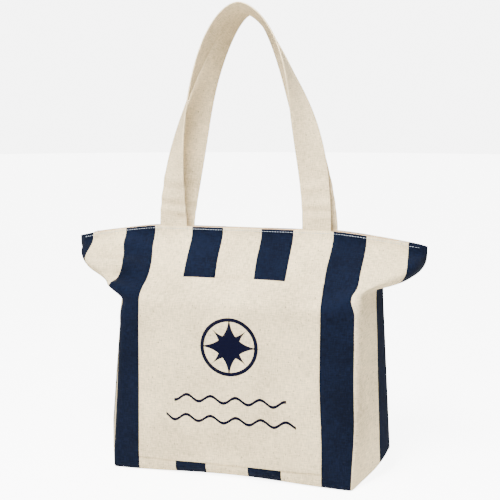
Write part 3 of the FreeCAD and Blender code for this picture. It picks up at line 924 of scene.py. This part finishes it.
class TOTE_OT_pocket(bpy.types.Operator):
    """Make the front pocket with its turned head, and the stitches along its four edges"""
    bl_idname = "tote.pocket"
    bl_label = "Pocket"

    def execute(self, context):
        sizes, colours = settings_of(context)
        surface = surface_named("front_canvas_panel")
        half = sizes.pocket_width / 2
        layer = sizes.canvas_thickness * POCKET_LAYER
        across = np.linspace(-half, half, 109)[None, :]
        along = np.linspace(POCKET_HEAD, POCKET_FOOT, 111)[:, None]
        from_head = along - POCKET_HEAD
        sag = 0.0016 * (1 - (across / half) ** 2) * (1 - share_of(from_head, 0.0, 0.03))
        place = across - slide_at(across, along, sizes.front_slide)
        side = eased(half - np.abs(across), 0.004, half * 0.5)
        low = eased(POCKET_FOOT - along, 0.004, 0.060)
        ripple = 0.125 * np.sin(across / 0.031 + along / 0.12) * hump(from_head, 0.0, 0.035)
        turned = 1 - eased(from_head, TURNING_DEPTH - 0.0015, TURNING_DEPTH + 0.0015)
        stand_off = sizes.pocket_room * side * low * (1 + ripple) + POCKET_TURNING * turned
        grid = surface.at(place, along + sag, POCKET_CLEARANCE + layer + stand_off)
        pocket = sheet_piece("front_pocket_panel", grid, across, along)
        thicken(pocket, layer)
        sew(pocket, pocket_material(sizes, colours), "front_pocket")

        outer = Surface(grid)
        last_row, last_column = grid.shape[0] - 1, grid.shape[1] - 1
        depth = POCKET_FOOT - POCKET_HEAD
        foot_row = last_row - POCKET_STITCH_INSET / depth * last_row
        head_row = TURNING_DEPTH / depth * last_row
        left = POCKET_STITCH_INSET / (2 * half) * last_column
        right = last_column - left
        down = np.linspace(1.0, foot_row, ROW_POINTS)
        sideways = np.linspace(left, right, ROW_POINTS)
        level = np.ones(ROW_POINTS)
        lines = []
        for row, column in ((down, left * level), (down, right * level),
                            (foot_row * level, sideways), (head_row * level, sideways)):
            lines.append((outer.read(outer.points, row, column),
                          unit(outer.read(outer.normals, row, column))))
        rows = stitches("pocket_rows", lines, sizes.stitch_length * POCKET_STITCH,
                        sizes.stitch_pitch, sizes.stitch_thickness * POCKET_THREAD)
        sew(rows, natural_thread(colours), "pocket_stitching")
        return {"FINISHED"}


def handle_path(sign, top_turn, shift, fullness, bluntness, left_lean):
    """Middle, direction and width direction of a handle, from its right end to its left.

    A leg's distance from the middle is half the spacing times a power of one minus a power of
    the climb. The strap lies flat to the bag at the hem and turns on its own axis as it climbs.
    The front one turns early on its left leg and late on its right, so that it meets the other
    edge-on, and the back one alike on both. The angle at the top is given in degrees.
    """
    to_left = np.array([-1.0, 1.0, 1.0])
    climb = np.sin(np.linspace(0, math.pi / 2, 120)) ** 1.15
    reach = HALF_SPACING * (1 - climb ** fullness) ** bluntness
    right = points_of(reach, 0.0, HINGE_HEIGHT + HANDLE_RISE * climb)
    loop = np.concatenate([right, right[::-1][1:] * to_left])
    sewn = points_of(HALF_SPACING, 0.0, np.array([HEM_HEIGHT - SEWN_DEPTH, HINGE_HEIGHT - 0.0012]))
    line = walk(np.concatenate([sewn, loop, sewn[::-1] * to_left]), 240)
    climb = np.clip((line[:, 2] - HINGE_HEIGHT) / HANDLE_RISE, 0.0, 1.0)
    late = eased(climb, 0.05, 0.95) ** 1.25
    early = (climb + np.sin(math.pi / 2 * climb)) / 2 * eased(climb, 0.0, 0.06)
    is_left = eased(-line[:, 0], -0.02, 0.02)
    turn = between(late, early, is_left) if sign < 0 else climb ** 1.25
    turn = math.radians(top_turn) * turn
    line[:, 0] += between(shift, TOP_SHIFT, eased(climb, 0.1, 0.9))
    line[:, 0] += left_lean * hump(climb, 0.66, 0.24) * is_left
    edge_on = np.sin(np.minimum(turn, math.pi / 2))
    line[:, 1] = sign * between(STRAP_MIDDLE, STRAP_TOP_Y, edge_on)
    direction = unit(np.gradient(line, axis=0) * np.array([1.0, 0.0, 1.0]))
    out = np.stack([direction[:, 2], 0 * climb, -direction[:, 0]], axis=1)
    inwards = -sign * np.array([0.0, 1.0, 0.0])
    wide = out * np.cos(turn)[:, None] + inwards * np.sin(turn)[:, None]
    return line, direction, wide


def strap_profile(half_width, half_thick):
    """A flat strip's outline: two long faces joined by half-rounds."""
    flat = half_width - half_thick
    face = np.linspace(-flat, flat, 9)
    bend = np.linspace(-math.pi / 2, math.pi / 2, 5)[1:-1]
    out = flat + half_thick * np.cos(bend)
    rise = half_thick * np.sin(bend)
    long_side = np.full(9, half_thick)
    across = np.concatenate([face, out[::-1], -face, -out])
    through = np.concatenate([long_side, rise[::-1], -long_side, rise])
    return np.stack([across, through], axis=1)


class TOTE_OT_handles(bpy.types.Operator):
    """Make the two strap handles with their edge stitches"""
    bl_idname = "tote.handles"
    bl_label = "Handles"

    def execute(self, context):
        sizes, colours = settings_of(context)
        material = plain_cloth("strap_canvas", colours.strap, sizes, 0.5, 1.0, 1.2)
        thread = natural_thread(colours)
        half_width = sizes.strap_width / 2
        half_thick = sizes.strap_thickness / 2
        profile = strap_profile(half_width, half_thick)
        underside = UNDERSIDE_START * (profile[:, 1] < 0)
        for name, sign, *shape in HANDLES:
            line, direction, wide = handle_path(sign, *shape)
            thick = np.cross(direction, wide) * -sign
            along = distances_along(line)
            creases = sum(np.sin(along / wave + start) * hump(line[:, 2], height, spread)
                          for wave, start, height, spread in STRAP_CREASES)
            centres = line + thick * (creases * CREASE_DEPTH)[:, None]
            inside = line[:, 2] < HINGE_HEIGHT - 0.001
            thinned = np.where(inside, SEWN_HALF_THICK / half_thick, 1.0)
            piece = tube_piece(name + "_handle_strap", centres, wide, thick * thinned[:, None],
                               profile, profile[:, 0] + underside, along)
            dress(piece, material)
            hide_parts(name + "_handle", name + "_strap_ends")
            lines = []
            for edge in (-1, 1):
                row = centres + wide * edge * (half_width - STRAP_STITCH_INSET)
                for face in (-1, 1):
                    outward = thick * face
                    lines.append(((row + outward * half_thick)[~inside], outward[~inside]))
            rows = stitches(name + "_handle_rows", lines, sizes.stitch_length,
                            sizes.stitch_pitch, sizes.stitch_thickness * STRAP_THREAD)
            dress(rows, thread)
            for part in (piece, rows):
                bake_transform(part)
        return {"FINISHED"}


class TOTE_OT_mouth(bpy.types.Operator):
    """Make the facings inside the mouth"""
    bl_idname = "tote.mouth"
    bl_label = "Mouth Facings"

    def execute(self, context):
        sizes, colours = settings_of(context)
        material = facing_cloth(sizes, colours)
        for name, sign in SIDES:
            low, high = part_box(name + "_facing")
            across = np.linspace(low.x, high.x, 181)[None, :]
            droop = share_of(np.abs(across), POCKET_HALF, HALF_MOUTH) ** DROOP_POWER
            top = HEM_HEIGHT - FACING_BELOW_HEM - WING_DROOP * droop
            share = np.linspace(0, 1, 13)[:, None]
            wave = FACING_WAVE * np.sin(across / FACING_WAVE_LENGTH) * share ** 2
            wavy = np.clip(FACING_Y - wave, FACING_NEAREST, FACING_FARTHEST)
            y = np.where(share > 0.5, wavy, FACING_Y) * sign
            grid = points_of(across, y, between(top, low.z, share))
            piece = sheet_piece(name + "_facing_strip", grid, across, share * FACING_DEPTH,
                                turned_over=sign > 0)
            thicken(piece, sizes.facing_thickness)
            sew(piece, material, name + "_facing")
        return {"FINISHED"}


class TOTE_OT_zip(bpy.types.Operator):
    """Make the zip's tapes, coil teeth and end tabs, and finish its metal parts"""
    bl_idname = "tote.zip"
    bl_label = "Zip"

    def execute(self, context):
        sizes, colours = settings_of(context)
        tape = tape_material("zip_tape", colours.tape)
        teeth = uneven_material("nylon_teeth", colours.teeth, (0.88, 1.06), 700.0, 0.42, 0.00003, 0.45)
        for name, sign in SIDES:
            self.make_tape(name, sign, tape, sizes)
            self.make_teeth(name, teeth)
        metal = metal_material(colours)
        for node in ("zip_slider", "zip_pull", "zip_top_stops", "zip_bottom_stop"):
            dress(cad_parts[node], metal)
        for side, _ in ENDS:
            low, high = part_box(side + "_zip_tab")
            middle = (low + high) / 2
            line = points_of(np.linspace(low.x, high.x, 14), middle.y, middle.z)
            piece = folded_strip(side + "_zip_end_tab", line, SIDEWAYS, UPWARDS,
                                 (high.y - low.y) / 2, (high.z - low.z) / 2, 0.0006)
            sew(piece, facing_cloth(sizes, colours), side + "_zip_tab")
        return {"FINISHED"}

    def make_tape(self, name, sign, material, sizes):
        """One tape: upright against the facing, then turned in through a quarter round."""
        low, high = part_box(name + "_zip_tape")
        face = TAPE_OUTER - TAPE_CLEARANCE
        swing = np.linspace(0, math.pi / 2, 6)[1:]
        reach = np.concatenate([[face, face], TAPE_OUTER - TAPE_BEND * (1 - np.cos(swing)),
                                [TAPE_INNER]])
        height = np.concatenate([[high.z, low.z + TAPE_BEND],
                                 low.z + TAPE_BEND * (1 - np.sin(swing)), [low.z]])
        across = np.linspace(low.x, high.x, 160)[None, :]
        grid = walk(points_of(across, (reach * sign)[:, None], height[:, None]), TAPE_ROWS)
        along = np.linspace(0, TAPE_DEVELOPED, TAPE_ROWS)[:, None]
        piece = sheet_piece(name + "_zip_tape_strip", grid, along, across, turned_over=sign > 0)
        thicken(piece, sizes.tape_thickness)
        sew(piece, material, name + "_zip_tape")

    def make_teeth(self, name, material):
        """One row of coil: a round wire that winds round and round in an oval."""
        low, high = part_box(name + "_zip_teeth")
        turns = int((high.x - low.x) / COIL_PITCH)
        angle = np.linspace(0, turns * 2 * math.pi, turns * COIL_STEPS + 1)
        middle = (low + high) / 2
        half = (high - low) / 2
        x = low.x + COIL_WIRE + (high.x - low.x - 2 * COIL_WIRE) * angle / angle[-1]
        line = points_of(x, middle.y + (half.y - COIL_WIRE) * np.cos(angle),
                         middle.z + (half.z - COIL_WIRE) * np.sin(angle))
        direction = unit(np.gradient(line, axis=0))
        side = unit(np.cross(direction, LENGTHWAYS))
        around = np.arange(6) * math.pi / 3
        profile = COIL_WIRE * np.stack([np.cos(around), np.sin(around)], axis=1)
        piece = tube_piece(name + "_zip_coil", line, side, np.cross(direction, side), profile,
                           profile[:, 0], x)
        sew(piece, material, name + "_zip_teeth")


def folded_strip(name, line, wide, thick, half_width, half_gap, thickness):
    """A strip folded double along its middle, carried along a line.

    Its cross-section runs in along one face, round the fold, and back out along the other.
    """
    flat = half_width - half_gap
    bend = np.linspace(math.pi / 2, -math.pi / 2, 7)
    face = np.linspace(-half_width, flat, 4)[:-1]
    width_part = np.concatenate([face, flat + half_gap * np.cos(bend), face[::-1]])
    straight = np.full(3, half_gap)
    thick_part = np.concatenate([straight, half_gap * np.sin(bend), -straight])
    wide = np.broadcast_to(wide, line.shape)
    thick = np.broadcast_to(thick, line.shape)
    grid = (line[:, None, :] + wide[:, None, :] * width_part[None, :, None]
            + thick[:, None, :] * thick_part[None, :, None])
    along = distances_along(line)[:, None]
    around = distances_along(np.stack([width_part, thick_part], axis=1))
    direction = np.gradient(line, axis=0)
    turned = np.sum(np.cross(direction, wide) * thick) > 0
    piece = sheet_piece(name, grid, around[None, :], along, turned_over=bool(turned))
    thicken(piece, thickness)
    return piece


class TOTE_OT_inside(bpy.types.Operator):
    """Make the seam bindings and the care label inside the bag"""
    bl_idname = "tote.inside"
    bl_label = "Bindings and Label"

    def execute(self, context):
        colours = settings_of(context)[1]
        tape = tape_material("binding_tape", colours.tape)
        for side, sign in ENDS:
            self.make_seam_binding(side, sign, tape)
            self.make_corner_binding(side, sign, tape)
        low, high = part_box("base_seam_binding")
        line = points_of(np.linspace(low.x, high.x, 90), 0.0, (low.z + high.z) / 2)
        self.make_binding("base_seam_binding", line, UPWARDS, SIDEWAYS, (high.z - low.z) / 2, 0.0009,
                          tape, (0.018, high.x - low.x))
        self.make_label(colours)
        return {"FINISHED"}

    def make_binding(self, node, line, wide, thick, half_width, half_thick, material, flat):
        """A tape folded over raw edges, along a line."""
        piece = folded_strip(node + "_tape", line, wide, thick, half_width, half_thick, 0.0004)
        sew(piece, material, node)

    def make_seam_binding(self, side, sign, material):
        """The tape over one side seam's raw edges, which stays inside the leaning side."""
        low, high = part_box(side + "_seam_binding")
        top_slack, fold_inset, seam_beyond = 0.008, 0.0042, 0.006
        z = np.linspace(low.z, high.z, 70)
        inner, outer = sorted((abs(low.x), abs(high.x)))
        lean = (outer - inner - top_slack) * share_of(z, low.z, high.z)
        x = sign * (outer - fold_inset - lean)
        line = points_of(x + side_shift(x + sign * seam_beyond, z), 0.0, z)
        self.make_binding(side + "_seam_binding", line, LENGTHWAYS, -SIDEWAYS, 0.0039, 0.0009,
                          material, (0.017, high.z - low.z))

    def make_corner_binding(self, side, sign, material):
        """The tape over one boxed corner's raw edges, just inside the gusset's foot."""
        cloth, inset, above, points = 0.0012, 0.0046, 0.0032, 20
        turn = np.concatenate([np.linspace(0.25, 0.9, points), np.linspace(0.9, 0.25, points)])
        y = HALF_DEPTH * (1 - turn) * np.repeat([-1.0, 1.0], points)
        foot = CORNER_RISE * turn ** CORNER_RISE_POWER + BASE_RADIUS * (1 - turn) + cloth
        seam = sign * (FRONT_HALF + GUSSET_BULGE * turn)
        x = seam - sign * inset + side_shift(seam, foot)
        line = walk(points_of(x, y, foot + above), 60)
        wide = unit(np.array([-sign * 0.53, 0.0, 0.85]))
        direction = unit(np.gradient(line, axis=0))
        thick = unit(np.cross(direction, np.broadcast_to(wide, line.shape)))
        self.make_binding(side + "_corner_binding", line, wide, thick, 0.0035, 0.0006, material,
                          (0.012, 0.125))

    def make_label(self, colours):
        """A small blank label that curls a little at its free end."""
        low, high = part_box("care_label")
        deepest_curl, curl_length, seam_beyond = 0.0028, 0.02, 0.010
        x = np.linspace(low.x, high.x, 24)[None, :]
        z = np.linspace(high.z, low.z, 30)[:, None]
        curl = deepest_curl * share_of(x, low.x, high.x) ** 2
        y = -curl * np.cos((z - low.z) / curl_length)
        shift = side_shift(low.x - seam_beyond, (low.z + high.z) / 2)
        piece = sheet_piece("care_label_tag", points_of(x + shift, y, z), x - low.x, high.z - z)
        thicken(piece, 0.0003)
        sew(piece, tape_material("label_satin", colours.label), "care_label")


class TOTE_OT_stage(bpy.types.Operator):
    """Make the floor, the pale surroundings, the soft lights and the camera"""
    bl_idname = "tote.stage"
    bl_label = "Stage"

    def execute(self, context):
        self.make_floor(settings_of(context)[1])
        self.make_world(context)
        self.add_lamp("AREA", "key_light", (-0.08, -0.72, 1.25), (0.0, 0.0, 0.25),
                      {"shape": "SQUARE", "size": 0.5, "energy": 50.0})
        self.add_lamp("AREA", "fill_light", (1.4, -0.6, 1.1), (0.0, 0.0, 0.25),
                      {"shape": "SQUARE", "size": 0.9, "energy": 8.0})
        self.add_lamp("SUN", "sky_light", (-0.30, -0.50, 1.0), (0.0, 0.0, 0.0),
                      {"energy": 1.4, "angle": math.radians(50)})
        self.make_camera(context)
        return {"FINISHED"}

    def make_floor(self, colours):
        """A wide round floor, which the camera sees paler than it lights the bag."""
        rings, spokes, widest, glow = 12, 64, 9.0, 7.0
        reach = np.linspace(0.0, widest, rings)[:, None]
        angle = np.linspace(0, 2 * math.pi, spokes + 1)[None, :-1]
        floor = new_mesh("floor", points_of(reach * np.cos(angle), reach * np.sin(angle), 0.0),
                         grid_faces(rings, spokes, around=True))
        floor.data.polygons.foreach_set("use_smooth", np.zeros(len(floor.data.polygons), bool))
        bench = new_bench("pale_floor")
        tinted = bench.tinted(bench.noise(bench.object_place(), 3.0), colours.floor, 0.985, 1.0)
        dull = {"Base Color": tinted, "Roughness": 0.9, "Specular IOR Level": 0.0}
        glowing = {**dull, "Emission Color": WHITE, "Emission Strength": glow}
        dress(floor, bench.brighter_to_camera("ShaderNodeBsdfPrincipled", dull, glowing))

    def make_world(self, context):
        """Even pale light from all sides, which the camera sees brighter than it is."""
        bench = Bench(bpy.data.worlds.new("studio"))
        context.scene.world = bench.brighter_to_camera(
            "ShaderNodeBackground", {"Color": WHITE, "Strength": 0.60},
            {"Color": (0.8, 0.8, 0.8, 1.0), "Strength": 8.0})

    def add_lamp(self, kind, name, place, aim, settings):
        """One soft light at a place, which faces its aim."""
        light = bpy.data.lights.new(name, kind)
        for key, value in settings.items():
            setattr(light, key, value)
        lamp = bpy.data.objects.new(name, light)
        lamp.location = place
        lamp.rotation_euler = (Vector(aim) - Vector(place)).to_track_quat("-Z", "Y").to_euler()
        bpy.context.scene.collection.objects.link(lamp)

    def make_camera(self, context):
        """The camera, a little to the right of the front and slightly above."""
        turn = math.radians(13.71)
        lift = math.radians(7.74)
        distance = 1.1859
        target = Vector((0.0, 0.0, 0.34454))
        back = Vector((math.sin(turn) * math.cos(lift), -math.cos(turn) * math.cos(lift),
                       math.sin(lift)))
        camera = bpy.data.objects.new("camera", bpy.data.cameras.new("camera"))
        camera.data.lens = 60.64
        camera.data.sensor_width = 36.0
        camera.data.shift_x = 0.0126
        camera.data.shift_y = -0.0512
        camera.data.dof.use_dof = False
        camera.location = target + back * distance
        camera.rotation_euler = (-back).to_track_quat("-Z", "Y").to_euler()
        context.scene.collection.objects.link(camera)
        context.scene.camera = camera


OPERATORS = (TOTE_OT_stage, TOTE_OT_canvas, TOTE_OT_hem, TOTE_OT_pocket, TOTE_OT_handles,
             TOTE_OT_mouth, TOTE_OT_zip, TOTE_OT_inside)


class TOTE_PT_panel(bpy.types.Panel):
    """Sizes, colours and pieces of the tote bag"""
    bl_idname = "TOTE_PT_panel"
    bl_label = "Tote Bag"
    bl_space_type = "VIEW_3D"
    bl_region_type = "UI"
    bl_category = "Tote Bag"

    def draw(self, context):
        for group in settings_of(context):
            box = self.layout.box()
            for name in group.__annotations__:
                box.prop(group, name)
        for operator in OPERATORS:
            self.layout.operator(operator.bl_idname)


CLASSES = (ToteSizes, ToteColours) + OPERATORS + (TOTE_PT_panel,)


def register():
    """Make the classes known, and give the scene its sizes and colours."""
    for each in CLASSES:
        bpy.utils.register_class(each)
    bpy.types.Scene.tote_sizes = bpy.props.PointerProperty(type=ToteSizes)
    bpy.types.Scene.tote_colours = bpy.props.PointerProperty(type=ToteColours)


def unregister():
    """Undo register."""
    del bpy.types.Scene.tote_colours
    del bpy.types.Scene.tote_sizes
    for each in reversed(CLASSES):
        bpy.utils.unregister_class(each)


def main():
    """Run every operator in order."""
    register()
    for operator in OPERATORS:
        family, name = operator.bl_idname.split(".")
        getattr(getattr(bpy.ops, family), name)()


if __name__ == "__main__":
    main()
